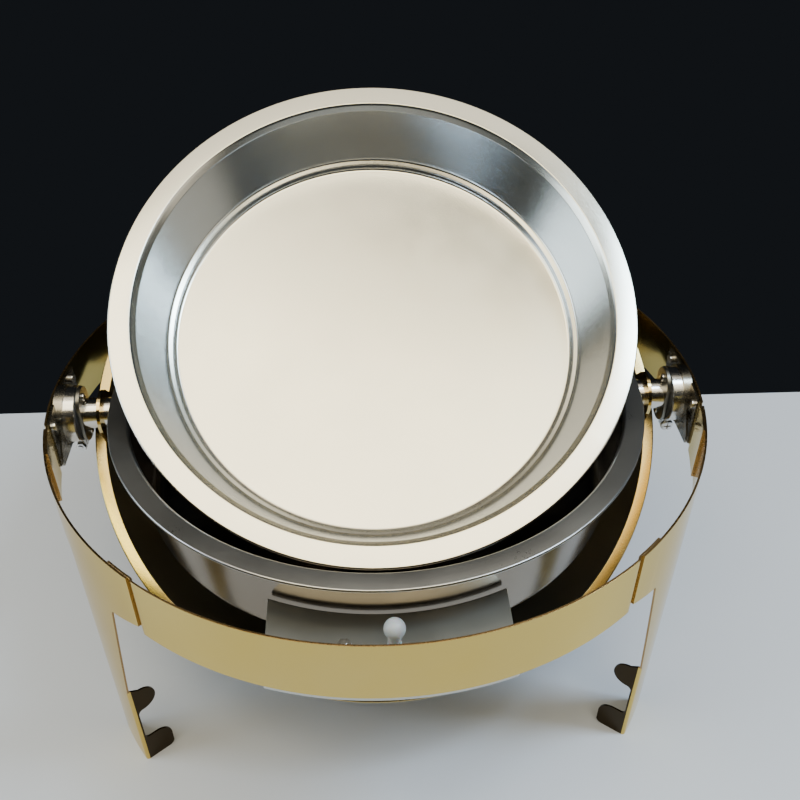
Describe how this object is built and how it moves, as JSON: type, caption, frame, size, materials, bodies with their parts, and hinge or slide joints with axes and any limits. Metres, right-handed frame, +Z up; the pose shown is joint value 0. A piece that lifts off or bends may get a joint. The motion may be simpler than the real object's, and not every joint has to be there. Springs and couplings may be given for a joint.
{
  "type": "chafing dish food warmer",
  "caption": "Round roll-top chafing dish: bent-sheet stand with four legs, water pan on two hinges, domed lid rolled underneath, and a food pan leaning in the water pan.",
  "frame": {"origin": "on the floor under the middle of the round stand", "axes": "+Z up; -Y towards the front, where the shelf and the lid's rest are; +X to the right along the hinge line"},
  "size_m": [0.5, 0.5042, 0.4295],
  "materials": {
    "gold_stand": "mirror gold plated stainless sheet",
    "gold_lid": "mirror gold plated stainless sheet",
    "satin_gold": "satin gold",
    "pan_steel": "satin stainless steel",
    "polished_steel": "polished stainless steel",
    "fastener_steel": "plated steel",
    "silicone": "translucent white silicone",
    "nylon": "natural nylon",
    "damper": "black plastic"
  },
  "bodies": {
    "stand": {"bumper_screw": "fastener_steel", "front_band": "gold_stand", "front_shelf": "gold_stand", "left_bracket_screws": "fastener_steel", "left_clamp_nut": "fastener_steel", "left_clamp_screw": "fastener_steel", "left_damper_barrel": "polished_steel", "left_front_leg": "gold_stand", "left_hinge_bracket": "polished_steel", "left_pan_boss": "polished_steel", "left_rear_leg": "gold_stand", "left_support_shaft": "polished_steel", "left_thrust_washer": "nylon", "rear_band": "gold_stand", "right_bracket_screws": "fastener_steel", "right_clamp_nut": "fastener_steel", "right_clamp_screw": "fastener_steel", "right_damper_barrel": "polished_steel", "right_front_leg": "gold_stand", "right_hinge_bracket": "polished_steel", "right_pan_boss": "polished_steel", "right_rear_leg": "gold_stand", "right_support_shaft": "polished_steel", "right_thrust_washer": "nylon", "shelf_bumper": "silicone", "shelf_nut": "fastener_steel", "shelf_screw": "fastener_steel", "water_pan": "pan_steel"},
    "lid": {"handle_posts": "polished_steel", "handle_screws": "fastener_steel", "left_arm_rivets": "fastener_steel", "left_damper_rotor": "damper", "left_flange_plate": "polished_steel", "left_flange_screws": "fastener_steel", "left_hub_sleeve": "polished_steel", "left_lid_arm": "gold_lid", "lid_handle": "polished_steel", "lid_rim": "satin_gold", "lid_shell": "gold_lid", "right_arm_rivets": "fastener_steel", "right_damper_rotor": "damper", "right_flange_plate": "polished_steel", "right_flange_screws": "fastener_steel", "right_hub_sleeve": "polished_steel", "right_lid_arm": "gold_lid"},
    "food_pan": {"food_pan": "pan_steel"}
  },
  "joints": [
    {"name": "lid_roll", "type": "hinge", "parent": "stand", "child": "lid", "pos_m": [0, 0, 0.2435], "axis": [1, 0, 0], "range_deg": [0, 147.2]},
    {"name": "food_pan_lift", "type": "slide", "parent": "stand", "child": "food_pan", "axis": [0, -0.6157, 0.788], "range_m": [0, 0.6]}
  ],
  "couplings": [
    {"joint": "food_pan_lift", "follows": "lid_roll", "m_per_rad": 0.232}
  ]
}
